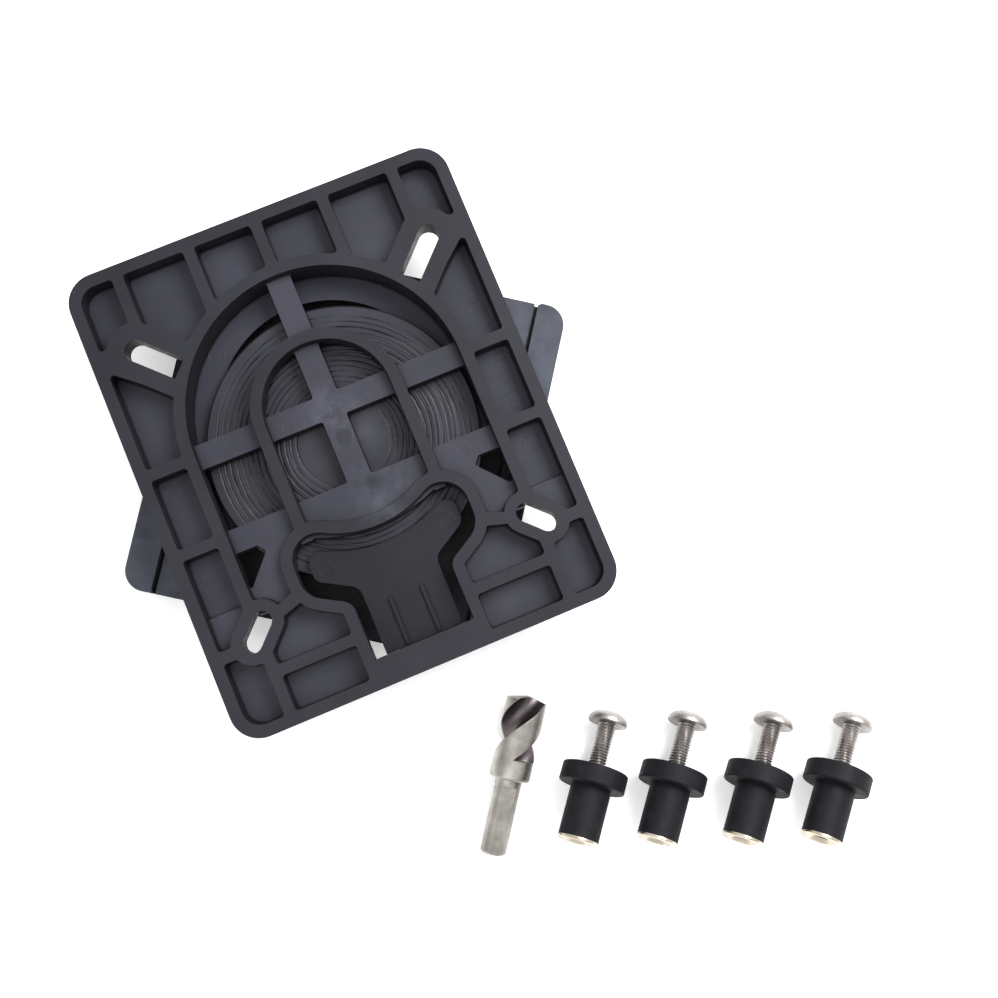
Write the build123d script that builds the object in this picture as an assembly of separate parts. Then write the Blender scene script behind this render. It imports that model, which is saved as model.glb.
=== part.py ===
from build123d import *
import os
from math import atan, cos, degrees, radians, sin, sqrt, tan

# Quick-release swivel mount for a boat seat, with the loose kit that fixes it down.
#
# A base plate bolts to the boat and carries a round disc that turns on its hub. The seat
# plate slides onto the disc: the disc's rim enters a channel, between the underside of the
# plate and a horseshoe ledge, through the side where the springy T-shaped tab is. Pushed
# home, the disc fills the arch and the tab drops behind its rim. At rest the plate is drawn
# 15 mm short of home, with the tab still riding on top of the disc. Four rubber well nuts
# with their screws, and the bit that drills their holes, lie beside.
#
# Row frame: the swivel axis is Z, the base's underside is Z = 0, and the seat plate is
# square to X and Y with its release tab on the -Y side. The base is turned under it.

# ---- driving dimensions, mm and degrees ------------------------------------------------

BOLT_SQUARE = 127.0          # the seat's bolts stand on a 5 inch square
BASE_SQUARE = 108.0          # the base's own bolts stand closer in

# heights of the stack
BASE_TOP = 12.0              # top of the base's middle
RAIL_TOP = 15.0              # top of the base's two side rails
HUB_TOP = 27.4
LEDGE_BOTTOM = 23.5          # the ledge runs under the disc's rim
LEDGE_TOP = 27.0
DISC_BOTTOM = 27.5
DISC_TOP = 32.5
FLANGE_BOTTOM = 33.0         # the seat plate's flat underside, just clear of the disc
FLOOR_TOP = 35.5             # floor of the pockets between the ribs
WEB_TOP = 40.0               # flat bars that cross the arch
RIB_TOP = 45.0               # the face that the seat rests on

# seat plate, seen from above
PLATE_X = 174.0
PLATE_Y = 211.0
PLATE_CORNER = 13.0
RIM = 5.4
POCKET_CORNER = 8.0
RIB = 5.0
RIB_FILLET = 1.6             # rounds the pockets' corners
ARCH_Y = 15.0                # centre of the arch, behind the swivel axis
ARCH_R = 60.6                # inside of the arch wall
ARCH_FOOT = -51.0            # where the arch's legs run into the lower slot bosses
RING_R = 28.3                # inside of the D-shaped ring
RING_FLOOR_R = 65.0          # curve of the ring's lower wall
RING_FOOT = -36.0
WEB_WALL = 2.5               # walls under the hollow bars
WEB_SKIN = 3.0
WEB_FILLET = 1.2             # rounds the windows' corners
BAR = 10.8
APRON_Y = -18.8              # the web is closed below this line

# disc and ledge
DISC_R = 59.7
HUB_R = 49.2
LEDGE_R = 49.7
CHANNEL_FOOT = -27.0         # the channel's two legs end here, below the plate
GROOVES = 17
GROOVE_DEPTH = 0.55
GROOVE_START = 20.5

# release tab
TAB_BOTTOM = 33.2
TAB_TOP = 36.0
TAB_ROOT = -93.0
TAB_GAP = 0.2                # between the tab's root and the bar that it springs from

# base plate, in its own turned frame
BASE_X = 167.0
BASE_Y = 165.4
BASE_CORNER = 9.5            # two opposite corners
BASE_BLUNT_CORNER = 26.0     # the other two, under the seat plate
BASE_TURN = -34.8
RAIL = 13.4
RAIL_FILLET = 2.0
RAIL_GROOVE = 1.6            # width of the groove along each rail
RAIL_GROOVE_DEPTH = 4.5
SHELL = 3.0
STIFFENER = 2.4              # ribs under the base
STIFFENER_PITCH = 25.6
HUB_ROOF = 4.0
BOLT_BOSS_R = 8.5
BOLT_HOLE_R = 4.2

# the disc's pivot: a boss through the hub's roof, held from below by a bolt and washer
PIVOT_R = 12.0
PIVOT_PLAY = 0.06
PIVOT_END_GAP = 0.1          # the boss stands this far past the hub's roof
WASHER_R = 14.5
WASHER = 2.0
BOLT_HEAD_R = 7.5
BOLT_HEAD = 5.3
BOLT_REACH = 8.0             # how far the bolt runs up past the washer

# kit: well nuts and M8 machine screws
NUT_SLEEVE_R = 9.0
NUT_FLANGE_R = 14.7
NUT_FLANGE = 8.2
NUT_NECK = 0.35              # depth of the shallow neck under the flange
NUT_LENGTH = 32.4            # from the flange's outer face to the insert's end face
NUT_INSERT_R = 6.4
NUT_INSERT_LENGTH = 13.0
NUT_END_PLATE = 1.2
NUT_MOUTH_R = 6.4
NUT_MOUTH = 1.8              # depth of the insert's countersunk mouth
NUT_SHOWING = 20.8           # screw between the flange and its own head
M8_R = 4.0
M8_PITCH = 1.25
M8_THREAD = 0.6              # depth of thread
M8_CLEAR = 0.08              # radial gap between screw and insert
M8_LENGTH = 48.0
M8_HEAD_R = 9.0
M8_HEAD = 5.8
M8_HEAD_EDGE = 1.2           # straight edge under the dome
M8_DRIVE_R = 2.9

# kit: drill bit, nearly as wide as the well nuts' barrels
DRILL_R = 9.1
DRILL_LENGTH = 37.6
DRILL_COLLAR = 9.0
DRILL_LAND = 90.0            # degrees of each of the two lands
DRILL_WEB_R = 2.6
DRILL_LEAD = 60.0            # length of one full turn of the flutes
DRILL_POINT = 154.0          # the point's full angle
DRILL_SHANK_R = 5.9
DRILL_SHANK = 33.2
DRILL_FLAT = 0.9

# where the kit lies, seen from above
KIT_START = (47.1, -174.7)   # the first well nut's flange
KIT_STEPS = (0.0, 35.2, 73.3, 108.6)   # flanges along the row, laid in two pairs
KIT_ROW = -22.9              # heading of the row
NUT_HEADING = 50.6           # heading of the first screw's head
NUT_FAN = -1.6               # turn from one well nut to the next
DRILL_START = (10.2, -164.4)
DRILL_HEADING = 54.4
DRILL_ROLL = 39.6

# ---- shared shapes ---------------------------------------------------------------------


def block(x0, x1, y0, y1):
    """A flat rectangle between these lines."""
    return Pos((x0 + x1) / 2, (y0 + y1) / 2) * Rectangle(x1 - x0, y1 - y0)


def slab(plan, bottom, top):
    """A plan raised from one height to another."""
    return extrude(Pos(0, 0, bottom) * plan, amount=top - bottom, dir=(0, 0, 1))


def both_sides(plan):
    """A plan together with its mirror image across the plate's middle."""
    return plan + mirror(plan, about=Plane.YZ)


def rounded(plan, radius):
    """A plan with its inner corners rounded and its outer ones as they were."""
    return offset(offset(plan, radius, kind=Kind.ARC), -radius, kind=Kind.ARC)


def arch(half_width, centre_y, foot_y):
    """A horseshoe: a half circle on two straight legs."""
    legs = block(-half_width, half_width, foot_y, centre_y)
    crown = Pos(0, centre_y) * Circle(half_width)
    return (crown & block(-half_width, half_width, centre_y, centre_y + half_width)) + legs


def t_outline(side, stem, lobe_r, upper_y, lower_y, dip_y, foot_y, shoulder_r):
    """A T with rounded lobes and a dipped head, widest at side and narrowest at the stem.

    upper_y and lower_y are the heights of the lobes' centres and dip_y is the bottom of
    the dip. The lobes run into the stem along a slope and a hollow shoulder.
    """
    lobe_x = side - lobe_r
    rise = dip_y - upper_y
    dip_r = (lobe_x**2 + rise**2 - lobe_r**2) / (2 * (lobe_r - rise))
    reach = lobe_r / (lobe_r + dip_r)
    join = (lobe_x * (1 - reach), upper_y + (dip_y + dip_r - upper_y) * reach)
    half_dip = 0.5 * atan(join[0] / (dip_y + dip_r - join[1]))
    dip_middle = (dip_r * sin(half_dip), dip_y + dip_r * (1 - cos(half_dip)))

    slope = 30.0
    out = (cos(radians(slope - 90)), sin(radians(slope - 90)))
    leave = (lobe_x + lobe_r * out[0], lower_y + lobe_r * out[1])
    meet_x = stem + shoulder_r * (1 - out[0])
    meet = (meet_x, leave[1] - (leave[0] - meet_x) * tan(radians(slope)))
    shoulder_y = meet[1] + shoulder_r * out[1]
    half_turn = radians((slope - 90) / 2)
    lobe_side = (lobe_x + lobe_r * cos(half_turn), lower_y + lobe_r * sin(half_turn))
    bend = (stem + shoulder_r * (1 - cos(half_turn)), shoulder_y - shoulder_r * sin(half_turn))

    edges = [
        ThreePointArc((0, dip_y), dip_middle, join),
        ThreePointArc(join, (lobe_x + lobe_r * 0.5, upper_y + lobe_r * sqrt(0.75)), (side, upper_y)),
        Line((side, upper_y), (side, lower_y)),
        ThreePointArc((side, lower_y), lobe_side, leave),
        Line(leave, meet),
        ThreePointArc(meet, bend, (stem, shoulder_y)),
        Line((stem, shoulder_y), (stem, foot_y)),
        Line((stem, foot_y), (0, foot_y)),
        Line((0, foot_y), (0, dip_y)),
    ]
    return both_sides(make_face(edges))


# ---- seat plate ------------------------------------------------------------------------

UPPER_SLOT_WIDTH = 9.4
UPPER_SLOT_INNER = 74.8      # distances from the swivel axis, along the diagonal
UPPER_SLOT_END = 95.2
UPPER_BOSS_R = 12.1
LOWER_SLOT_WIDTH = 8.3
LOWER_SLOT_LENGTH = 18.6
LOWER_SLOT_MIDDLE = BOLT_SQUARE / sqrt(2)
LOWER_BOSS_R = 9.1
STEM_POCKET = 22.4


def tab_pocket():
    """The T-shaped opening that the release tab stands in."""
    return t_outline(39.5, STEM_POCKET, 11.0, -44.7, -51.0, -41.0, TAB_ROOT, 6.0)


def tab_wall():
    """The wall round the tab's opening, with the opening still filled."""
    grown = t_outline(39.5 + RIB, STEM_POCKET + RIB, 11.0 + RIB, -44.7, -51.0, -41.0 + RIB, TAB_ROOT, 1.2)
    return grown - block(-PLATE_X, PLATE_X, TAB_ROOT - PLATE_Y, TAB_ROOT)


def plate_outline():
    return RectangleRounded(PLATE_X, PLATE_Y, PLATE_CORNER)


def slots():
    """The four diagonal bolt slots: two long ones above, two short ones by the tab."""
    half = UPPER_SLOT_WIDTH / 2
    upper = block(UPPER_SLOT_INNER, UPPER_SLOT_END, -half, half) + Pos(UPPER_SLOT_END, 0) * Circle(half)
    lower = Pos(LOWER_SLOT_MIDDLE, 0) * SlotOverall(LOWER_SLOT_LENGTH, LOWER_SLOT_WIDTH)
    return both_sides(Rot(0, 0, 45) * upper + Rot(0, 0, -45) * lower)


def slot_bosses():
    """The thick pads round the slots, with their links to the rim."""
    upper = block(ARCH_R, UPPER_SLOT_END, -UPPER_BOSS_R, UPPER_BOSS_R)
    upper += Pos(UPPER_SLOT_END, 0) * Circle(UPPER_BOSS_R)
    length = LOWER_SLOT_LENGTH - LOWER_SLOT_WIDTH + 2 * LOWER_BOSS_R
    lower = Pos(LOWER_SLOT_MIDDLE, 0) * SlotOverall(length, 2 * LOWER_BOSS_R)
    link_x = PLATE_X / 2 - RIM
    upper_link = Polygon((link_x + 1, 63.4), (link_x + 1, 70.6), (72, 76), (70, 52.8), align=None)
    lower_link = block(66, link_x + 1, -70.8, -65.4)
    return both_sides(Rot(0, 0, 45) * upper + Rot(0, 0, -45) * lower + upper_link + lower_link)


def d_ring():
    """The D-shaped ring in the middle, closed below by a shallow curve."""
    outer = arch(RING_R + RIB, ARCH_Y, RING_FOOT)
    inner = arch(RING_R, ARCH_Y, RING_FOOT - RIB)
    bowl = Pos(0, RING_FOOT + RING_FLOOR_R) * Circle(RING_FLOOR_R)
    lower_wall = Pos(0, RING_FOOT + RING_FLOOR_R) * Circle(RING_FLOOR_R + RIB) - bowl
    lower_wall &= block(-RING_R - RIB, RING_R + RIB, -PLATE_Y, APRON_Y)
    return outer - inner + lower_wall


def straight_ribs():
    """The straight ribs between the rim, the arch and the tab's wall."""
    edge_x = PLATE_X / 2 - RIM + 1
    edge_y = PLATE_Y / 2 - RIM + 1
    column = block(60.7, 65.7, 70, edge_y)
    inner_column = block(28.3, 33.3, 70, edge_y)
    upper_cross = block(64, edge_x, 12.3, 17.3)
    lower_cross = block(64, edge_x, -24.2, -19.3)
    foot_column = block(60.7, 65.7, -edge_y, -68)
    foot_cross = block(25, 61, -84.3, -79.3)
    tab_link = Polygon((41, -52.4), (54, -57.2), (54, -62.4), (41, -58.5), align=None)
    sides = both_sides(column + inner_column + upper_cross + lower_cross + foot_column + foot_cross + tab_link)
    middle = block(-RIB / 2, RIB / 2, 78, edge_y)
    root_bar = block(-STEM_POCKET - RIB, STEM_POCKET + RIB, -edge_y, TAB_ROOT)
    return sides + middle + root_bar


def arch_wall():
    return arch(ARCH_R + RIB, ARCH_Y, ARCH_FOOT) - arch(ARCH_R, ARCH_Y, ARCH_FOOT - 1)


def rib_plan():
    """Everything that stands as high as the seat's face."""
    field = RectangleRounded(PLATE_X - 2 * RIM, PLATE_Y - 2 * RIM, POCKET_CORNER)
    ribs = straight_ribs() + slot_bosses() - arch(ARCH_R, ARCH_Y, ARCH_FOOT + 1)
    ribs += arch_wall() + d_ring() + tab_wall()
    return rounded(plate_outline() - field + ribs, RIB_FILLET) - tab_pocket() - slots()


def web_plan():
    """The flat bars across the arch, and the closed part below them."""
    half = BAR / 2
    bars = block(-half, half, APRON_Y - 1, ARCH_Y + ARCH_R + 1)
    bars += block(-ARCH_R - 1, ARCH_R + 1, ARCH_Y - half, ARCH_Y + half)
    apron = block(-ARCH_R - 1, ARCH_R + 1, -59, APRON_Y)
    corner_hole = Polygon((ARCH_R, -29.1), (50.8, -29.1), (47.9, -32.6), (ARCH_R, -46.9), align=None)
    return bars + apron - both_sides(corner_hole) - tab_wall()


def seat_plate():
    ribs = rib_plan()
    floor = plate_outline() - arch(ARCH_R, ARCH_Y, -56) - tab_pocket() - slots()
    plate = slab(ribs, FLANGE_BOTTOM, RIB_TOP) + slab(floor, FLANGE_BOTTOM, FLOOR_TOP)

    # the lower side pockets have a step up beside their slot bosses
    step = both_sides(block(64, PLATE_X / 2 - RIM + 1, -68, -50.5)) - slots()
    plate += slab(step, FLANGE_BOTTOM, FLOOR_TOP + 3)

    # the bars are hollow from below
    web = rounded(web_plan() + arch_wall() + d_ring(), WEB_FILLET) & arch(ARCH_R + 0.1, ARCH_Y, -57)
    plate += slab(web, FLANGE_BOTTOM, WEB_TOP)
    for hollow in hollows():
        plate -= slab(hollow, FLANGE_BOTTOM - 1, WEB_TOP - WEB_SKIN)

    # the arch's wall reaches down past the disc's rim to the ledge that carries it
    outside = arch(ARCH_R + RIB, ARCH_Y, CHANNEL_FOOT)
    wall = outside - arch(ARCH_R, ARCH_Y, CHANNEL_FOOT - 1)
    ledge = outside - arch(LEDGE_R, ARCH_Y, CHANNEL_FOOT - 1)
    return plate + slab(wall, LEDGE_BOTTOM, FLANGE_BOTTOM + 1) + slab(ledge, LEDGE_BOTTOM, LEDGE_TOP)


def hollows():
    """The spaces under the bars' skin, between their side walls."""
    half = BAR / 2 - WEB_WALL
    low = ARCH_Y - half
    high = ARCH_Y + half
    wall = WEB_WALL
    upright = [
        block(-half, half, ARCH_Y + RING_R + RIB + wall, ARCH_Y + ARCH_R - wall),
        block(-half, half, high + wall, ARCH_Y + RING_R - wall),
        block(-half, half, APRON_Y + wall, low - wall),
    ]
    inner = both_sides(block(half + wall, RING_R - wall, low, high))
    outer = both_sides(block(RING_R + RIB + wall, ARCH_R - wall, low, high))
    d_floor = both_sides(block(wall / 2, RING_R - wall, -29, APRON_Y - wall))
    shoulder = both_sides(block(RING_R + RIB + wall, 46, -28, APRON_Y - wall))
    return upright + [inner, outer, d_floor, shoulder]


# ---- release tab -----------------------------------------------------------------------


def release_tab():
    """The T-shaped spring tab, with two low stiffening ribs on its stem."""
    blade = t_outline(34.0, 17.5, 4.6, -45.4, -49.9, -48.0, TAB_ROOT + TAB_GAP, 6.0)
    tab = slab(blade, TAB_BOTTOM, TAB_TOP)
    stiffener = block(6.45, 7.95, TAB_ROOT + 1, -71)
    return tab + slab(both_sides(stiffener), TAB_TOP - 0.5, TAB_TOP + 1.2)


# ---- disc, base plate and the pivot between them ---------------------------------------

ROOF_BOTTOM = HUB_TOP - HUB_ROOF
BOSS_BOTTOM = ROOF_BOTTOM - PIVOT_END_GAP


def swivel_disc():
    """The round plate that the ledge holds, with fine rings on top and a boss below."""
    bevel = 0.8
    pitch = (DISC_R - bevel - 1 - GROOVE_START) / GROOVES
    points = [(0, BOSS_BOTTOM), (PIVOT_R, BOSS_BOTTOM), (PIVOT_R, DISC_BOTTOM)]
    points += [(DISC_R - bevel, DISC_BOTTOM), (DISC_R, DISC_BOTTOM + bevel)]
    points += [(DISC_R, DISC_TOP - bevel), (DISC_R - bevel, DISC_TOP)]
    for ring in reversed(range(GROOVES)):
        start = GROOVE_START + ring * pitch
        points += [(start + 0.62 * pitch, DISC_TOP), (start + 0.36 * pitch, DISC_TOP - GROOVE_DEPTH)]
        points += [(start + 0.10 * pitch, DISC_TOP)]
    points += [(0, DISC_TOP)]
    section = make_face(Polyline([(r, 0, z) for r, z in points], close=True).edges())
    disc = revolve(section, axis=Axis.Z)
    pilot = slab(Circle(M8_R), BOSS_BOTTOM - 1, BOSS_BOTTOM - WASHER + BOLT_REACH)
    return disc - pilot


def pivot_washer():
    plan = Circle(WASHER_R) - Circle(M8_R + 0.3)
    return slab(plan, BOSS_BOTTOM - WASHER, BOSS_BOTTOM)


def pivot_bolt():
    """A hexagon-head bolt, screwed up through the washer into the disc's boss."""
    seat = BOSS_BOTTOM - WASHER
    head = slab(RegularPolygon(BOLT_HEAD_R, 6), seat - BOLT_HEAD, seat)
    cone = Pos(0, 0, seat - BOLT_HEAD / 2) * Cone(BOLT_HEAD_R - 1.2, BOLT_HEAD_R + 1.5, BOLT_HEAD)
    return (head & cone) + slab(Circle(M8_R), seat, seat + BOLT_REACH - 0.3)


def base_outline():
    """The base seen from above: two sharper corners and two blunt ones."""
    sharp = RectangleRounded(BASE_X, BASE_Y, BASE_CORNER)
    blunt = RectangleRounded(BASE_X, BASE_Y, BASE_BLUNT_CORNER)
    quarters = block(0, BASE_X, 0, BASE_Y) + block(-BASE_X, 0, -BASE_Y, 0)
    return (sharp & quarters) + (blunt - quarters)


def bolt_places():
    corner = BASE_SQUARE / 2
    return [Pos(x, y) for x in (-corner, corner) for y in (-corner, corner)]


def base_stiffening():
    """The grid of ribs, the hub's wall and the bolt bosses under the base."""
    grid = Sketch()
    for step in range(-2, 3):
        line = step * STIFFENER_PITCH
        half = STIFFENER / 2
        grid += block(line - half, line + half, -BASE_Y / 2 + 1, BASE_Y / 2 - 1)
        grid += block(-BASE_X / 2 + 1, BASE_X / 2 - 1, line - half, line + half)
    grid += [place * Circle(BOLT_BOSS_R) for place in bolt_places()]
    return grid - Circle(HUB_R - 1)


def hub_stiffening():
    """An inner ring round the pivot and eight spokes."""
    ring_r = WASHER_R + 2.5 + SHELL
    ring = Circle(ring_r) - Circle(ring_r - SHELL)
    for n in range(8):
        ring += Rot(0, 0, 45 * n) * block(ring_r - 1, HUB_R - 1, -SHELL / 2, SHELL / 2)
    return ring


def base_plate():
    """The plate that bolts down: a shell with two side rails and the hub, ribbed below."""
    outline = base_outline()
    inner_x = BASE_X / 2 - RAIL
    rails = outline & both_sides(block(inner_x, BASE_X, -BASE_Y, BASE_Y))
    rails = offset(offset(rails, -RAIL_FILLET, kind=Kind.ARC), RAIL_FILLET, kind=Kind.ARC)
    groove = both_sides(block(inner_x - RAIL_GROOVE, inner_x, -BASE_Y, BASE_Y))
    base = slab(outline, 0, BASE_TOP) - slab(groove, BASE_TOP - RAIL_GROOVE_DEPTH, BASE_TOP + 1)
    base += slab(rails, 0, RAIL_TOP) + slab(Circle(HUB_R), 0, HUB_TOP)

    # the shell is open below
    shell = offset(outline, -SHELL, kind=Kind.ARC)
    middle = shell & block(-inner_x + RAIL_GROOVE, inner_x - RAIL_GROOVE, -BASE_Y, BASE_Y)
    base -= slab(middle - Circle(HUB_R - 1), -1, BASE_TOP - SHELL)
    base -= slab(shell & both_sides(block(inner_x + 0.6, BASE_X, -BASE_Y, BASE_Y)), -1, RAIL_TOP - SHELL)
    base -= slab(Circle(HUB_R - SHELL), -1, ROOF_BOTTOM)
    base += slab(Circle(HUB_R) - Circle(HUB_R - SHELL), 0, HUB_TOP - 1)
    base += slab(base_stiffening() & outline, 0, BASE_TOP - SHELL + 0.5)
    base += slab(hub_stiffening(), 0, ROOF_BOTTOM + 0.5)

    base -= slab(Circle(PIVOT_R + PIVOT_PLAY), ROOF_BOTTOM - 1, HUB_TOP + 1)
    for place in bolt_places():
        base -= slab(place * Circle(BOLT_HOLE_R), -1, BASE_TOP + 1)
    return Rot(0, 0, BASE_TURN) * base


# ---- kit -------------------------------------------------------------------------------
# Each kit piece is drawn along Z and then laid down. A well nut's zero is its flange's
# outer face, with the screw's head above; the drill's zero is its shoulder, tip above.


def wellnut_sleeve():
    """The rubber sleeve: a thick flange on a plain barrel, open for the screw."""
    flange = Pos(0, 0, -NUT_FLANGE / 2) * Cylinder(NUT_FLANGE_R, NUT_FLANGE)
    flange = fillet(flange.edges().filter_by(GeomType.CIRCLE), 0.7)
    barrel_end = -NUT_LENGTH + NUT_END_PLATE
    barrel = Pos(0, 0, barrel_end / 2) * Cylinder(NUT_SLEEVE_R, -barrel_end)
    neck = Cylinder(NUT_SLEEVE_R + 1, 1.4) - Cylinder(NUT_SLEEVE_R - NUT_NECK, 1.4)
    barrel -= Pos(0, 0, -NUT_FLANGE - 0.7) * neck
    bore_r = M8_R + 0.5
    bore = Pos(0, 0, -NUT_LENGTH / 2) * Cylinder(bore_r, NUT_LENGTH + 2)
    socket_top = -NUT_LENGTH + NUT_INSERT_LENGTH
    socket = Pos(0, 0, (socket_top + barrel_end - 1) / 2)
    socket *= Cylinder(NUT_INSERT_R, socket_top - barrel_end + 1)
    return flange + barrel - bore - socket


def wellnut_insert():
    """The brass insert: an end plate flush with the barrel, and a threaded bush inside."""
    plate = Pos(0, 0, -NUT_LENGTH + NUT_END_PLATE / 2) * Cylinder(NUT_SLEEVE_R, NUT_END_PLATE)
    plate = fillet(plate.edges().sort_by(Axis.Z)[0], 0.35)
    bush = Pos(0, 0, -NUT_LENGTH + NUT_INSERT_LENGTH / 2) * Cylinder(NUT_INSERT_R, NUT_INSERT_LENGTH)
    thread = Cylinder(M8_R + M8_CLEAR, NUT_INSERT_LENGTH + 2)
    insert = plate + bush - Pos(0, 0, -NUT_LENGTH + NUT_INSERT_LENGTH / 2) * thread
    mouth = Cone(NUT_MOUTH_R, M8_R, NUT_MOUTH)
    return insert - Pos(0, 0, -NUT_LENGTH + NUT_MOUTH / 2 - 0.01) * mouth


def machine_screw():
    """A pan-head screw with a ridged thread and a hexagonal socket."""
    turns = int((M8_LENGTH - 2) / M8_PITCH)
    tip = NUT_SHOWING - M8_LENGTH
    points = [(0, tip), (M8_R - 1.2, tip), (M8_R - M8_THREAD, tip + 0.8)]
    for turn in range(turns):
        base = tip + 0.8 + turn * M8_PITCH
        points += [(M8_R, base + 0.5 * M8_PITCH), (M8_R - M8_THREAD, base + M8_PITCH)]
    points += [(M8_R - M8_THREAD, NUT_SHOWING), (M8_HEAD_R, NUT_SHOWING)]
    shoulder_z = NUT_SHOWING + M8_HEAD_EDGE
    crown_z = NUT_SHOWING + M8_HEAD
    points += [(M8_HEAD_R, shoulder_z)]
    outline = Polyline([(r, 0, z) for r, z in points])
    dome_middle = (M8_HEAD_R * 0.72, 0, shoulder_z + (crown_z - shoulder_z) * 0.78)
    dome = ThreePointArc((M8_HEAD_R, 0, shoulder_z), dome_middle, (0, 0, crown_z))
    axis_line = Line((0, 0, crown_z), (0, 0, tip))
    screw = revolve(make_face([*outline.edges(), dome, axis_line]), axis=Axis.Z)
    socket = extrude(Pos(0, 0, NUT_SHOWING + M8_HEAD - 2.6) * RegularPolygon(M8_DRIVE_R, 6), amount=4)
    return screw - socket


def drill_section():
    """The two lands and the web between the flutes."""
    edge_x = DRILL_R * sin(radians(DRILL_LAND / 2))
    edge_y = DRILL_R * cos(radians(DRILL_LAND / 2))
    middle = (edge_x**2 + edge_y**2 - DRILL_WEB_R**2) / (2 * (edge_x - DRILL_WEB_R))
    flute = Pos(middle, 0) * Circle(middle - DRILL_WEB_R)
    return Circle(DRILL_R) - flute - Rot(0, 0, 180) * flute


def drill_bit():
    """A stub twist drill with a plain collar and a reduced shank with three flats."""
    collar = Pos(0, 0, DRILL_COLLAR / 2) * Cylinder(DRILL_R, DRILL_COLLAR)
    collar = fillet(collar.edges().sort_by(Axis.Z)[0], 1.5)
    length = DRILL_LENGTH - DRILL_COLLAR
    twist = 360 * length / DRILL_LEAD
    fluted = Solid.extrude_linear_with_rotation(drill_section().face(), (0, 0, 0), (0, 0, length), twist)
    body = collar + Pos(0, 0, DRILL_COLLAR) * fluted
    point_height = DRILL_R / tan(radians(DRILL_POINT / 2))
    point = Pos(0, 0, DRILL_LENGTH - point_height / 2) * Cone(DRILL_R + 0.05, 0.05, point_height)
    stock = Pos(0, 0, (DRILL_LENGTH - point_height) / 2) * Cylinder(DRILL_R + 1, DRILL_LENGTH - point_height)
    body &= point + stock
    shank = Pos(0, 0, -DRILL_SHANK / 2) * Cylinder(DRILL_SHANK_R, DRILL_SHANK)
    shank = chamfer(shank.edges().sort_by(Axis.Z)[0], 1.2)
    flat_x = DRILL_SHANK_R - DRILL_FLAT
    for n in range(3):
        flat = Pos(flat_x + 1, 0, -DRILL_SHANK / 2 - 3) * Box(2, 2 * DRILL_SHANK_R, DRILL_SHANK)
        shank -= Rot(0, 0, 120 * n + 30) * flat
    return body + shank


def laid(x, y, height, heading, dip):
    """The place of a piece whose Z points along a heading and dips below level."""
    return Pos(x, y, height) * Rot(0, 0, heading) * Rot(0, 90 + dip, 0)


def wellnut_place(index):
    """A well nut lies on its flange's rim and its screw's head."""
    x = KIT_START[0] + KIT_STEPS[index] * cos(radians(KIT_ROW))
    y = KIT_START[1] + KIT_STEPS[index] * sin(radians(KIT_ROW))
    dip = atan((NUT_FLANGE_R - M8_HEAD_R) / (NUT_SHOWING + M8_HEAD_EDGE))
    return laid(x, y, NUT_FLANGE_R * cos(dip), NUT_HEADING + index * NUT_FAN, degrees(dip))


def drill_place():
    """The drill lies level on its thick end, with its shank clear of the floor."""
    return laid(*DRILL_START, DRILL_R, DRILL_HEADING, 0) * Rot(0, 0, DRILL_ROLL)


# ---- the parts -------------------------------------------------------------------------


def all_parts():
    """Every node's name and solid, in the row frame."""
    parts = {
        "base_plate": base_plate(),
        "swivel_disc": swivel_disc(),
        "pivot_washer": pivot_washer(),
        "pivot_bolt": pivot_bolt(),
        "seat_plate": seat_plate(),
        "release_tab": release_tab(),
        "drill_bit": drill_place() * drill_bit(),
    }
    sleeve = wellnut_sleeve()
    insert = wellnut_insert()
    screw = machine_screw()
    for n in range(4):
        parts[f"wellnut_sleeve_{n + 1}"] = wellnut_place(n) * sleeve
        parts[f"wellnut_insert_{n + 1}"] = wellnut_place(n) * insert
        parts[f"machine_screw_{n + 1}"] = wellnut_place(n) * screw
    return parts


os.makedirs("parts", exist_ok=True)
for name, shape in all_parts().items():
    export_step(shape, f"parts/{name}.step")
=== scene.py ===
"""Looks for the boat seat swivel mount: camera, light, materials and fine geometry."""

from math import atan2, cos, floor, pi, radians, sin

import bmesh
import bpy
from mathutils import Matrix, Vector


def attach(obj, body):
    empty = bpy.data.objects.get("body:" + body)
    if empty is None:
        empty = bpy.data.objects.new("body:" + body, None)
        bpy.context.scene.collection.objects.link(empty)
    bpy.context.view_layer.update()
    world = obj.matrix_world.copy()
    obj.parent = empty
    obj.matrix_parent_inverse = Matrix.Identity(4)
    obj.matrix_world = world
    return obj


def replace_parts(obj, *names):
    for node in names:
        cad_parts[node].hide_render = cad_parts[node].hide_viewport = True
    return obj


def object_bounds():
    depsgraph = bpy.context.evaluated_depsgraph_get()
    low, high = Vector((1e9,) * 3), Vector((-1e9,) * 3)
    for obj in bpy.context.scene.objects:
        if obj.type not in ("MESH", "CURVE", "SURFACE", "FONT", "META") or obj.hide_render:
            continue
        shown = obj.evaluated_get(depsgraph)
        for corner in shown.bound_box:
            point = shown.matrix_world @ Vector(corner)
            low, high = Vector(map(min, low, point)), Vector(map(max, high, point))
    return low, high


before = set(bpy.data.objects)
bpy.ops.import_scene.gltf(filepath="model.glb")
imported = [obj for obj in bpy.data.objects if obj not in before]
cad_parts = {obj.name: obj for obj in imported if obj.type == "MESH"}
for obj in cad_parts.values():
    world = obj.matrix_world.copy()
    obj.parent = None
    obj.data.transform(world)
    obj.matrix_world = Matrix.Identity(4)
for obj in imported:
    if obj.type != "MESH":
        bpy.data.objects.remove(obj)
cad_low, cad_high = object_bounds()
bpy.context.scene.view_settings.view_transform = "Standard"

MM = 0.001

# ---- camera, floor and light -------------------------------------------------------------

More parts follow.
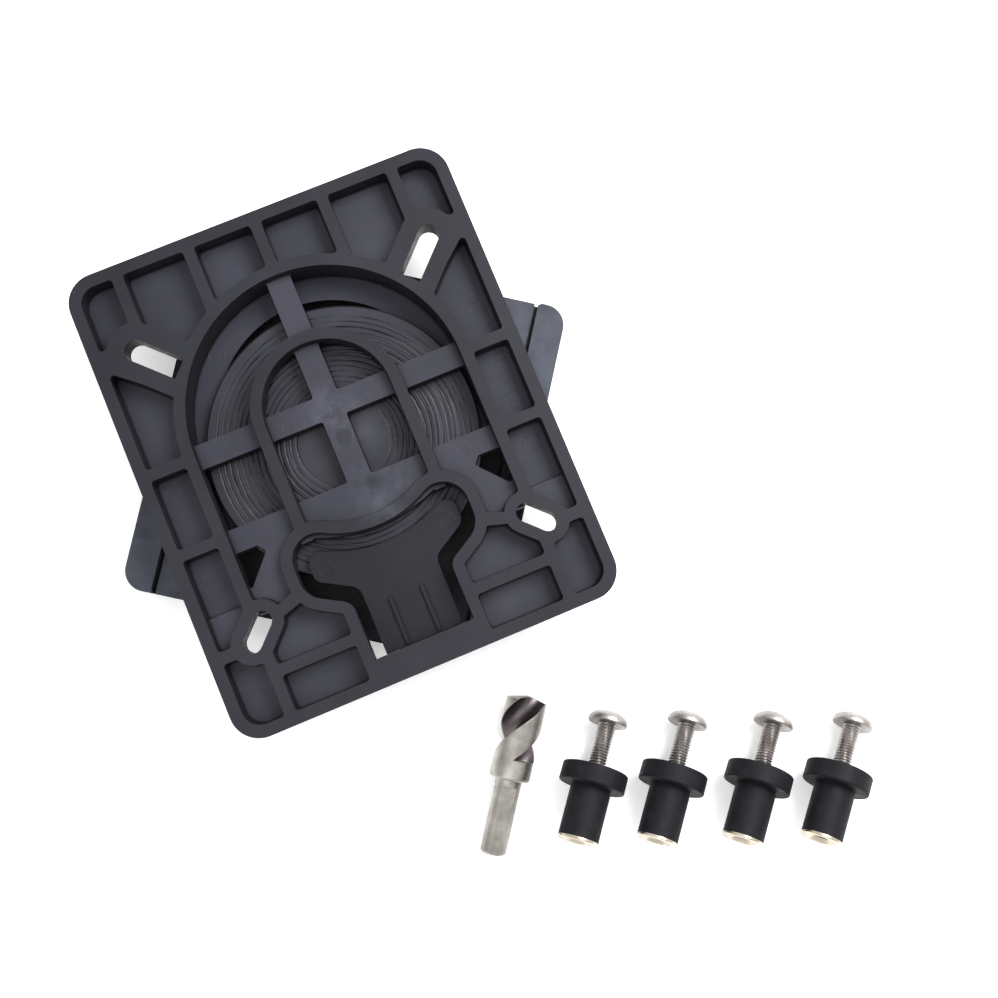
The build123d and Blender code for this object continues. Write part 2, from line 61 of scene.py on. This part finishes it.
CAMERA_PLACE = Vector((13.9, -93.6, 594.4)) * MM
CAMERA_AIM = Vector((51.5, -50.4, 45.0)) * MM
CAMERA_UP = 67.4             # heading of the picture's upward direction, in degrees
LENS = 46.9
SENSOR = 36.0
FLOOR_SIZE = 4.0             # in metres
FLOOR_GLOW = 0.22            # keeps the floor white in the object's soft shadows
LIGHTS = (
    # name, heading and height in degrees, distance and size in metres, watts
    ("key", 22.0, 50.0, 1.1, 0.6, 16.0),
    ("fill", 200.0, 60.0, 1.3, 1.2, 5.0),
)


def heading(angle, up=0.0):
    """A direction from a heading, turned from +X towards +Y, and a height, both in degrees."""
    level = cos(radians(up))
    return Vector((level * cos(radians(angle)), level * sin(radians(angle)), sin(radians(up))))


def facing(place, aim):
    """The matrix that puts a camera or light at place, looking at aim."""
    back = (place - aim).normalized()
    right = heading(CAMERA_UP).cross(back).normalized()
    turn = Matrix((right, back.cross(right), back)).transposed()
    return Matrix.Translation(place) @ turn.to_4x4()


def add_camera():
    data = bpy.data.cameras.new("camera")
    data.lens = LENS
    data.sensor_width = SENSOR
    data.clip_start = 0.01
    camera = bpy.data.objects.new("camera", data)
    bpy.context.collection.objects.link(camera)
    camera.matrix_world = facing(CAMERA_PLACE, CAMERA_AIM)
    bpy.context.scene.camera = camera


def add_light(name, angle, up, distance, size, watts):
    """A soft square light that looks at the middle of the object."""
    data = bpy.data.lights.new(name, "AREA")
    data.shape = "SQUARE"
    data.size = size
    data.energy = watts
    lamp = bpy.data.objects.new(name, data)
    bpy.context.collection.objects.link(lamp)
    aim = (cad_low + cad_high) / 2
    lamp.matrix_world = facing(aim + heading(angle, up) * distance, aim)


def add_floor():
    bpy.ops.mesh.primitive_plane_add(size=FLOOR_SIZE, location=(0, 0, cad_low.z))
    plane = bpy.context.object
    plane.name = "floor"
    paper = plain_material("floor", (0.96, 0.96, 0.96), 0.9)
    glow = paper.node_tree.nodes["Principled BSDF"]
    glow.inputs["Emission Color"].default_value = (1.0, 1.0, 1.0, 1.0)
    glow.inputs["Emission Strength"].default_value = FLOOR_GLOW
    plane.data.materials.append(paper)


def add_world():
    """An even white sky, which gives most of the light."""
    world = bpy.data.worlds.new("world")
    world.use_nodes = True
    sky = world.node_tree.nodes["Background"]
    sky.inputs["Color"].default_value = (1.0, 1.0, 1.0, 1.0)
    sky.inputs["Strength"].default_value = 1.0
    bpy.context.scene.world = world


# ---- materials ---------------------------------------------------------------------------

BLACK = (0.0, 0.0, 0.0)
TOP_SHADE = (0.002, 0.002, 0.003)
MARK_AND_SHADE_BLACK = (0.010, 0.010, 0.013)
MIDDLE_SHADE = (0.006, 0.006, 0.008)
FLOW_GREY = (0.072, 0.074, 0.095)
CLOUD_GREY = (0.075, 0.078, 0.098)
SCUFF_BLUE = (0.066, 0.073, 0.096)
FLUTE_GREY = (0.100, 0.085, 0.087)
CORNER_REACH = 1.8 * MM      # how far the painted shade reaches from a corner
# how far a bore's painted shade reaches
BORE_REACH = 4.0 * MM


def plain_material(name, colour, roughness, metallic=0.0, specular=0.5):
    material = bpy.data.materials.new(name)
    material.use_nodes = True
    shader = material.node_tree.nodes["Principled BSDF"]
    shader.inputs["Base Color"].default_value = (*colour, 1.0)
    shader.inputs["Roughness"].default_value = roughness
    shader.inputs["Metallic"].default_value = metallic
    shader.inputs["Specular IOR Level"].default_value = specular
    return material


class Nodes:
    """Short calls for building one material's node tree in object coordinates."""

    def __init__(self, material):
        self.tree = material.node_tree
        self.shader = self.tree.nodes["Principled BSDF"]
        source = self.tree.nodes.new("ShaderNodeTexCoord")
        self.place = source.outputs["Object"]
        self.normal = source.outputs["Normal"]

    def feed(self, target, value):
        """Links a socket to a socket, or sets it to a plain value."""
        if isinstance(value, bpy.types.NodeSocket):
            self.tree.links.new(value, target)
        else:
            target.default_value = value

    def noise(self, scale, detail, rough=0.5, stretch=None):
        node = self.tree.nodes.new("ShaderNodeTexNoise")
        node.inputs["Scale"].default_value = scale
        node.inputs["Detail"].default_value = detail
        node.inputs["Roughness"].default_value = rough
        place = self.vector("MULTIPLY", self.place, stretch) if stretch else self.place
        self.feed(node.inputs["Vector"], place)
        return node.outputs["Fac"]

    def vector(self, operation, first, second):
        node = self.tree.nodes.new("ShaderNodeVectorMath")
        node.operation = operation
        self.feed(node.inputs[0], first)
        self.feed(node.inputs[1], second)
        number = operation in ("DISTANCE", "LENGTH", "DOT_PRODUCT")
        return node.outputs["Value" if number else "Vector"]

    def height(self, vector):
        """The Z part of a vector."""
        node = self.tree.nodes.new("ShaderNodeSeparateXYZ")
        self.feed(node.inputs[0], vector)
        return node.outputs["Z"]

    def near(self, x, y, inner, outer, most):
        """A soft round patch about a point of the plan: most inside, 0 outside."""
        level = self.vector("MULTIPLY", self.place, (1.0, 1.0, 0.0))
        far = self.vector("DISTANCE", level, (x * MM, y * MM, 0.0))
        return self.spread(far, inner * MM, outer * MM, most, 0.0)

    def maths(self, operation, first, second=0.0):
        node = self.tree.nodes.new("ShaderNodeMath")
        node.operation = operation
        self.feed(node.inputs[0], first)
        self.feed(node.inputs[1], second)
        return node.outputs[0]

    def spread(self, value, low, high, new_low, new_high):
        """Maps low..high to new_low..new_high, held at the ends."""
        node = self.tree.nodes.new("ShaderNodeMapRange")
        node.inputs["From Min"].default_value = low
        node.inputs["From Max"].default_value = high
        node.inputs["To Min"].default_value = new_low
        node.inputs["To Max"].default_value = new_high
        self.feed(node.inputs["Value"], value)
        return node.outputs["Result"]

    def mix(self, amount, first, second):
        """Blends two colours, each a socket or (red, green, blue)."""
        node = self.tree.nodes.new("ShaderNodeMix")
        node.data_type = "RGBA"
        self.feed(node.inputs["Factor"], amount)
        for number, colour in ((6, first), (7, second)):     # the sockets that hold colours
            if not isinstance(colour, bpy.types.NodeSocket):
                colour = (*colour, 1.0)
            self.feed(node.inputs[number], colour)
        return node.outputs[2]

    def bump(self, height, strength, distance):
        node = self.tree.nodes.new("ShaderNodeBump")
        node.inputs["Strength"].default_value = strength
        node.inputs["Distance"].default_value = distance
        self.feed(node.inputs["Height"], height)
        return node.outputs["Normal"]

    def crevices(self, reach):
        """Ambient occlusion for painted shade: 1 on open surface, falling towards 0 in tight corners.
        """
        node = self.tree.nodes.new("ShaderNodeAmbientOcclusion")
        node.inputs["Distance"].default_value = reach
        node.samples = 8
        return node.outputs["AO"]

    def finish(self, colour, roughness, normal):
        self.feed(self.shader.inputs["Base Color"], colour)
        self.feed(self.shader.inputs["Roughness"], roughness)
        self.feed(self.shader.inputs["Normal"], normal)


def moulded_plastic(name, dark, light, rough, shade=None):
    """Satin black nylon: cloudy flow, a fine grain, faint scuffs, and painted shade on walls and in
    corners.

    shade may change the colour before the walls and corners get their painted shade.
    """
    material = plain_material(name, dark, rough, specular=0.22)
    n = Nodes(material)
    cloud = n.noise(22.0, 3.0, 0.55)
    speck = n.noise(1400.0, 2.0, 0.6)
    pale_speck = tuple(2.2 * part for part in light)
    colour = n.mix(n.spread(cloud, 0.35, 0.68, 0.0, 1.0), dark, light)
    colour = n.mix(n.spread(speck, 0.62, 0.80, 0.0, 0.22), colour, pale_speck)
    if shade:
        colour = shade(n, colour)
    # Painted shade: steep walls and tight corners are darkened towards black.
    wall_shade = n.spread(n.maths("ABSOLUTE", n.height(n.normal)), 0.35, 0.85, 0.30, 1.0)
    corner = n.spread(n.crevices(CORNER_REACH), 0.60, 0.84, 0.02, 1.0)
    colour = n.mix(n.maths("MULTIPLY", wall_shade, corner), BLACK, colour)
    scuff = n.noise(90.0, 5.0, 0.7, stretch=(1.0, 6.0, 1.0))
    roughness = n.spread(scuff, 0.35, 0.70, rough - 0.07, rough + 0.10)
    height = n.maths("ADD", n.maths("MULTIPLY", speck, 0.5), n.noise(140.0, 3.0, 0.5))
    n.finish(colour, roughness, n.bump(height, 0.22, 0.25 * MM))
    return material


def seat_shade(n, colour):
    """Top faces darkened as painted shade, paler flow marks, a dark pin mark and a soft patch of
    painted shade.
    """
    # Painted shade on the top faces.
    top = n.spread(n.height(n.place), 43.0 * MM, 44.6 * MM, 0.0, 0.58)
    colour = n.mix(top, colour, TOP_SHADE)
    flow = n.spread(n.noise(75.0, 4.0, 0.65), 0.42, 0.62, 0.1, 1.0)
    for x, y, inner, outer, most in ((0.0, 11.0, 2.0, 17.0, 0.7), (6.0, -28.0, 2.0, 20.0, 0.6)):
        patch = n.maths("MULTIPLY", n.near(x, y, inner, outer, most), flow)
        colour = n.mix(patch, colour, FLOW_GREY)
    # A dark pin mark at the middle, and a soft patch of painted shade below it.
    for x, y, inner, outer, most in ((0.4, 0.4, 3.0, 4.4, 0.5), (4.6, -21.6, 0.5, 4.5, 0.6)):
        colour = n.mix(n.near(x, y, inner, outer, most), colour, MARK_AND_SHADE_BLACK)
    return colour


def disc_shade(n, colour):
    """A smooth paler middle with cloudy streaks."""
    cloud = n.spread(n.noise(60.0, 4.0), 0.4, 0.65, 0.0, 1.0)
    patch = n.maths("MULTIPLY", n.near(7.0, 2.0, 3.0, 17.0, 0.55), cloud)
    return n.mix(patch, colour, CLOUD_GREY)


def base_shade(n, colour):
    """Black in the middle as painted shade, scuffed paler and bluish towards the corners."""
    scuffed = n.spread(n.noise(34.0, 5.0, 0.6), 0.40, 0.66, 0.1, 0.9)
    colour = n.mix(scuffed, colour, SCUFF_BLUE)
    # Painted shade in the middle of the base.
    return n.mix(n.near(0.0, 0.0, 78.0, 94.0, 1.0), colour, MIDDLE_SHADE)


def rubber():
    """Matt black rubber, a little dusty."""
    dark, light = (0.005, 0.005, 0.007), (0.012, 0.012, 0.016)
    material = plain_material("rubber", light, 0.62, specular=0.16)
    n = Nodes(material)
    speck = n.noise(1100.0, 3.0, 0.6)
    dust = n.noise(160.0, 4.0, 0.6)
    colour = n.mix(n.spread(dust, 0.45, 0.75, 0.0, 0.8), dark, light)
    n.finish(colour, n.spread(dust, 0.3, 0.7, 0.50, 0.72), n.bump(speck, 0.25, 0.2 * MM))
    return material


def metal(name, dark, light, rough, shade=None):
    """A turned or ground metal with fine grain and soft stains; shade may change the colour."""
    material = plain_material(name, light, rough, metallic=1.0)
    n = Nodes(material)
    grain = n.noise(900.0, 4.0, 0.65)
    stain = n.noise(120.0, 3.0, 0.5)
    colour = n.mix(n.spread(stain, 0.35, 0.7, 0.0, 1.0), dark, light)
    if shade:
        colour = shade(n, colour)
    roughness = n.spread(grain, 0.3, 0.7, rough - 0.08, rough + 0.12)
    n.finish(colour, roughness, n.bump(grain, 0.15, 0.05 * MM))
    return material


def bore_shade(n, colour):
    """Painted shade, darker inside a bore."""
    return n.mix(n.spread(n.crevices(BORE_REACH), 0.72, 0.98, 0.1, 1.0), BLACK, colour)


def flute_shade(n, colour):
    """Darker grey in the flutes, which start past the collar."""
    from_start = n.vector("SUBTRACT", n.place, tuple(part * MM for part in DRILL_START))
    axis = tuple(heading(DRILL_HEADING))
    out = n.vector("LENGTH", n.vector("CROSS_PRODUCT", from_start, axis), BLACK)
    along = n.vector("DOT_PRODUCT", from_start, axis)
    inside = n.spread(out, (FLUTE_R - 0.2) * MM, (FLUTE_R + 0.2) * MM, 1.0, 0.0)
    past = n.spread(along, (DRILL_COLLAR - 0.2) * MM, (DRILL_COLLAR + 0.2) * MM, 0.0, 1.0)
    return n.mix(n.maths("MULTIPLY", inside, past), colour, FLUTE_GREY)


# ---- CAD nodes ---------------------------------------------------------------------------


def soften(node, width, dissolve=True):
    """Rounds a CAD node's edges with modifiers, leaving its mesh alone.

    dissolve joins flat triangles first; it fails on flat faces that have islands in them.
    """
    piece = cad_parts[node]
    weld = piece.modifiers.new("weld", "WELD")
    weld.merge_threshold = 0.002 * MM
    if dissolve:
        flat = piece.modifiers.new("flat", "DECIMATE")
        flat.decimate_type = "DISSOLVE"
        flat.angle_limit = radians(0.5)
    bevel = piece.modifiers.new("bevel", "BEVEL")
    bevel.width = width
    bevel.segments = 2
    bevel.limit_method = "ANGLE"
    bevel.angle_limit = radians(32.0)
    bevel.harden_normals = False
    normals = piece.modifiers.new("normals", "WEIGHTED_NORMAL")
    normals.keep_sharp = False
    for polygon in piece.data.polygons:
        polygon.use_smooth = True


def paint(node, material):
    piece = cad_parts[node]
    piece.data.materials.clear()
    piece.data.materials.append(material)


# ---- sizes of the fine geometry, in mm and degrees, in step with the CAD -------------------

DISC_R = 59.7
DISC_BOTTOM = 27.5
DISC_TOP = 32.5
DISC_CHAMFER = 0.8
BOSS_R = 12.0
BOSS_BOTTOM = 23.3
BOLT_BORE_R = 4.1
BOLT_BORE_TOP = 29.5
GROOVES_FROM = 19.5
GROOVES_TO = 56.5
GROOVES = ((0.0, 2.45, 0.32), (1.7, 3.7, 0.16))              # seed, pitch and depth of each set

FLANGE_R = 14.7
SLEEVE_R = 9.0
NUT_LENGTH = 32.4
INSERT_R = 6.4
INSERT_LENGTH = 13.0
INSERT_EDGE = 0.35
END_PLATE = 1.2
MOUTH = 1.8
MOUTH_R = 4.6
SHOWING = 20.8               # from the flange to the underside of the screw's head
M8_R = 4.0
M8_PITCH = 1.25
M8_LENGTH = 48.0
M8_DEPTH = 0.62
HEAD_R = 9.0
HEAD = 5.8
HEAD_EDGE = 1.2
SOCKET_R = 2.5               # half the distance across the flats
SOCKET_DEPTH = 2.6

KIT_START = (47.1, -174.7)
KIT_STEPS = (0.0, 35.2, 73.3, 108.6)
KIT_ROW = -22.9
NUT_HEADING = 50.6
NUT_FAN = -1.6
DRILL_START = (10.2, -164.4, 9.1)
DRILL_HEADING = 54.4
DRILL_COLLAR = 9.0
FLUTE_R = 8.55

FLOOR_PINS = ((77.2, 5.8), (74.7, -11.7), (75.4, 30.9), (74.7, -32.6))
BAR_PINS = ((19.7, 13.3), (46.0, -24.0))
LEDGE_PINS = ((38.0, 57.0),)
TAB_PINS = ((27.8, -49.5),)
FLOOR_TOP = 35.5
BAR_TOP = 40.0
LEDGE_TOP = 27.0
TAB_TOP = 36.0
MARK_WIDTH = 0.8
MARK_RISE = 0.09
MARK_SINK = 0.02

# ---- meshes ------------------------------------------------------------------------------


def solid_mesh(name, vertices, faces, material):
    """A mesh whose meeting points are merged and whose faces look outwards."""
    mesh = bpy.data.meshes.new(name)
    mesh.from_pydata(vertices, [], faces)
    work = bmesh.new()
    work.from_mesh(mesh)
    bmesh.ops.remove_doubles(work, verts=work.verts, dist=0.001 * MM)
    bmesh.ops.recalc_face_normals(work, faces=work.faces)
    work.to_mesh(mesh)
    work.free()
    mesh.materials.append(material)
    return mesh


def wrapped(name, rows, columns, material):
    """A mesh of rings round Z: each row gives (radius, height) in mm for an angle."""
    vertices = []
    for row in rows:
        for column in range(columns):
            angle = 2 * pi * column / columns
            radius, height = row(angle)
            vertices.append((radius * cos(angle) * MM, radius * sin(angle) * MM, height * MM))
    faces = []
    for ring in range(len(rows) - 1):
        for column in range(columns):
            after = (column + 1) % columns
            low = ring * columns
            high = low + columns
            faces.append((low + column, low + after, high + after, high + column))
    mesh = solid_mesh(name, vertices, faces, material)
    for polygon in mesh.polygons:
        polygon.use_smooth = True
    mesh.set_sharp_from_angle(angle=radians(38.0))
    return mesh


def circles(*corners):
    """Plain rows of wrapped(), one for each (radius, height)."""
    return [lambda angle, corner=corner: corner for corner in corners]


def add_piece(name, mesh, body):
    """A new piece that rides a body."""
    piece = bpy.data.objects.new(name, mesh)
    bpy.context.collection.objects.link(piece)
    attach(piece, body)
    return piece


def stand(mesh, name, place, body, node):
    """Puts a copy of a mesh in the scene, in a node's stead."""
    moved = mesh.copy()
    moved.transform(place)
    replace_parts(add_piece(name, moved, body), node)


# ---- swivel disc -------------------------------------------------------------------------


def ripple(angle, seed):
    """A slow wobble round the disc, between -1 and 1."""
    return 0.6 * sin(3 * angle + seed) + 0.4 * sin(7 * angle + 2.3 * seed)


def groove_depth(radius, angle):
    """Turned rings of uneven depth that wander and cross a little."""
    depth = 0.0
    if GROOVES_FROM < radius < GROOVES_TO:
        for seed, pitch, share in GROOVES:
            turn = (radius + 0.30 * ripple(angle, seed)) / pitch
            across = abs(2 * (turn - floor(turn)) - 1)
            uneven = 0.75 + 0.25 * ripple(angle * 2, seed + floor(turn))
            depth += share * uneven * max(0.0, 1 - 3.0 * across)
    return depth


def disc_rows():
    """Rows across the top, fine where it is grooved, then the rim, underside and boss."""

    def grooved(radius):
        return lambda angle: (radius, DISC_TOP - groove_depth(radius, angle))

    radii = [2.0 * step for step in range(9)] + [18.0 + 0.2 * step for step in range(204)]
    rim = circles(
        (DISC_R - DISC_CHAMFER, DISC_TOP),
        (DISC_R, DISC_TOP - DISC_CHAMFER),
        (DISC_R, DISC_BOTTOM + DISC_CHAMFER),
        (DISC_R - DISC_CHAMFER, DISC_BOTTOM),
    )
    boss = circles(
        (BOSS_R, DISC_BOTTOM),
        (BOSS_R, BOSS_BOTTOM),
        (BOLT_BORE_R, BOSS_BOTTOM),
        (BOLT_BORE_R, BOLT_BORE_TOP),
        (0.0, BOLT_BORE_TOP),
    )
    return [grooved(radius) for radius in radii] + rim + boss


# ---- marks left by the mould -------------------------------------------------------------


def ridge(name, paths, material):
    """A mesh of low three-sided ridges, each along a path of points in mm."""
    vertices = []
    faces = []
    for path in paths:
        start = len(vertices)
        closed = path[0] == path[-1]
        for step, point in enumerate(path):
            along = Vector(path[min(step + 1, len(path) - 1)]) - Vector(path[max(step - 1, 0)])
            if closed and step in (0, len(path) - 1):
                along = Vector(path[1]) - Vector(path[-2])
            aside = Vector((-along.y, along.x, 0.0)).normalized() * MARK_WIDTH / 2
            foot = Vector(point) - Vector((0.0, 0.0, MARK_SINK))
            crest = foot + Vector((0.0, 0.0, MARK_RISE))
            vertices += [(foot - aside) * MM, crest * MM, (foot + aside) * MM]
        for step in range(len(path) - 1):
            low = start + 3 * step
            for side, other in ((0, 1), (1, 2), (2, 0)):
                faces.append((low + side, low + 3 + side, low + 3 + other, low + other))
        if not closed:
            last = len(vertices) - 3
            faces += [(start, start + 1, start + 2), (last, last + 1, last + 2)]
    return solid_mesh(name, vertices, faces, material)


def spiral(x, y, height, start_r, end_r, turns=1.0):
    """The points of a ring, or of a spiral when its two radii differ."""
    steps = int(40 * turns)
    points = []
    for step in range(steps + 1):
        angle = 2 * pi * turns * step / steps
        radius = start_r + (end_r - start_r) * step / steps
        points.append((x + radius * cos(angle), y + radius * sin(angle), height))
    if start_r == end_r:
        points[-1] = points[0]
    return points


def mirrored(places, height, radius):
    """Rings at these places and at their mirror images."""
    return [spiral(side * x, y, height, radius, radius) for x, y in places for side in (-1, 1)]


def add_marks():
    """The rings that the mould's ejector pins leave, and the whirl at its gate."""
    seat_marks = mirrored(FLOOR_PINS, FLOOR_TOP, 3.5) + mirrored(BAR_PINS, BAR_TOP, 3.0)
    seat_marks.append(spiral(0.4, 0.4, BAR_TOP, 3.8, 3.8))
    seat_marks.append(spiral(0.0, 31.6, BAR_TOP, 2.8, 2.8))
    seat_marks.append(spiral(-3.0, 12.7, BAR_TOP, 0.6, 3.6, turns=1.6))
    seat_marks += mirrored(LEDGE_PINS, LEDGE_TOP, 3.6)
    tab_marks = mirrored(TAB_PINS, TAB_TOP, 3.3)
    for body, paths, material in (("seat", seat_marks, seat_plastic), ("tab", tab_marks, tab_plastic)):
        name = f"{body}_marks"
        add_piece(name, ridge(name, paths, material), body)


def add_root_web():
    """A thin web at the hinge's height, in the gap where the tab springs from its bar."""
    corners = [(x, y, z) for x in (-17.3, 17.3) for y in (-92.96, -92.79) for z in (34.3, 34.9)]
    sides = [(0, 1, 3, 2), (4, 6, 7, 5), (0, 4, 5, 1), (2, 3, 7, 6), (0, 2, 6, 4), (1, 5, 7, 3)]
    mesh = solid_mesh("root_web", [Vector(corner) * MM for corner in corners], sides, tab_plastic)
    add_piece("root_web", mesh, "tab")


# ---- well nuts' screws and inserts -------------------------------------------------------


def thread(radius, depth, angle, height):
    """The radius of a right-handed thread's surface."""
    turn = height / M8_PITCH - angle / (2 * pi)
    crest = abs(2 * (turn - floor(turn)) - 1)
    return radius - depth * (1 - crest)


def screw_rows():
    """A screw about Z, with the flange's face at 0: tip, thread, domed head and socket."""
    tip = SHOWING - M8_LENGTH
    top = SHOWING + HEAD
    steps = int(M8_LENGTH / (M8_PITCH / 8))

    def threaded(height):
        return lambda angle: (min(thread(M8_R, M8_DEPTH, angle, height), 3.2 + height - tip), height)

    def socket(height):
        return lambda angle: (SOCKET_R / cos(angle % (pi / 3) - pi / 6), height)

    def dome(up):
        return (HEAD_R - 0.1) * cos(up), SHOWING + HEAD_EDGE + (HEAD - HEAD_EDGE) * sin(up)

    rows = circles((0.0, tip), (2.8, tip))
    rows += [threaded(tip + 0.6 + (M8_LENGTH - 0.6) * step / steps) for step in range(steps + 1)]
    rows += circles(
        (3.4, SHOWING),
        (HEAD_R - 0.4, SHOWING),
        (HEAD_R, SHOWING + 0.4),
        (HEAD_R, SHOWING + HEAD_EDGE),
    )
    rows += circles(*(dome(radians(up)) for up in range(5, 70, 5)))
    rows += [socket(top - 0.4), socket(top - SOCKET_DEPTH)]
    return rows + circles((0.0, top - SOCKET_DEPTH - 0.6))


def insert_rows():
    """A threaded insert about Z with its end plate, in the same frame as its screw."""
    end = -NUT_LENGTH
    bore = INSERT_LENGTH - MOUTH
    steps = int(bore / (M8_PITCH / 8))

    def threaded(height):
        return lambda angle: (thread(M8_R + 0.62, 0.5, angle, height), height)

    rows = circles(
        (M8_R + 0.5, end + INSERT_LENGTH),
        (INSERT_R, end + INSERT_LENGTH),
        (INSERT_R, end + END_PLATE),
        (SLEEVE_R, end + END_PLATE),
        (SLEEVE_R, end + INSERT_EDGE),
        (SLEEVE_R - INSERT_EDGE, end),
        (INSERT_R, end),
        (MOUTH_R, end + MOUTH),
    )
    rows += [threaded(end + MOUTH + bore * step / steps) for step in range(steps + 1)]
    return rows + circles((M8_R + 0.5, end + INSERT_LENGTH))


def wellnut_place(index):
    """A well nut lies on its flange's rim and its screw's head."""
    row = heading(KIT_ROW) * KIT_STEPS[index]
    dip = atan2(FLANGE_R - HEAD_R, SHOWING + HEAD_EDGE)
    place = Vector((KIT_START[0] + row.x, KIT_START[1] + row.y, FLANGE_R * cos(dip))) * MM
    turn = Matrix.Rotation(radians(NUT_HEADING + index * NUT_FAN), 4, "Z")
    return Matrix.Translation(place) @ turn @ Matrix.Rotation(pi / 2 + dip, 4, "Y")


# ---- the object --------------------------------------------------------------------------

seat_plastic = moulded_plastic(
    "seat_plastic", (0.021, 0.021, 0.031), (0.033, 0.033, 0.047), 0.48, seat_shade
)
disc_plastic = moulded_plastic(
    "disc_plastic", (0.017, 0.017, 0.024), (0.030, 0.030, 0.040), 0.42, disc_shade
)
tab_plastic = moulded_plastic("tab_plastic", (0.004, 0.004, 0.007), (0.009, 0.009, 0.014), 0.52)
base_plastic = moulded_plastic(
    "base_plastic", (0.018, 0.020, 0.028), (0.028, 0.031, 0.042), 0.45, base_shade
)
black_rubber = rubber()
screw_steel = metal("screw_steel", (0.27, 0.25, 0.24), (0.44, 0.41, 0.39), 0.40)
brass = metal("brass", (0.46, 0.40, 0.31), (0.70, 0.63, 0.51), 0.28, bore_shade)
drill_steel = metal("drill_steel", (0.25, 0.235, 0.215), (0.41, 0.39, 0.36), 0.36, flute_shade)

for node, finish in (
    ("seat_plate", seat_plastic),
    ("release_tab", tab_plastic),
    ("base_plate", base_plastic),
    ("pivot_washer", base_plastic),
    ("pivot_bolt", screw_steel),
    ("drill_bit", drill_steel),
):
    paint(node, finish)

disc_mesh = wrapped("disc", disc_rows(), 192, disc_plastic)
stand(disc_mesh, "turned_disc", Matrix(), "disc", "swivel_disc")
screw_mesh = wrapped("screw", screw_rows(), 48, screw_steel)
insert_mesh = wrapped("insert", insert_rows(), 64, brass)
for number in range(1, 5):
    paint(f"wellnut_sleeve_{number}", black_rubber)
    place = wellnut_place(number - 1)
    stand(screw_mesh, f"screw_{number}", place, f"screw_{number}", f"machine_screw_{number}")
    stand(insert_mesh, f"insert_{number}", place, f"wellnut_{number}", f"wellnut_insert_{number}")

add_marks()
add_root_web()
soften("seat_plate", 0.5 * MM)
soften("release_tab", 0.4 * MM, dissolve=False)
soften("base_plate", 0.7 * MM)
soften("drill_bit", 0.3 * MM)

add_world()
add_floor()
for light in LIGHTS:
    add_light(*light)
add_camera()
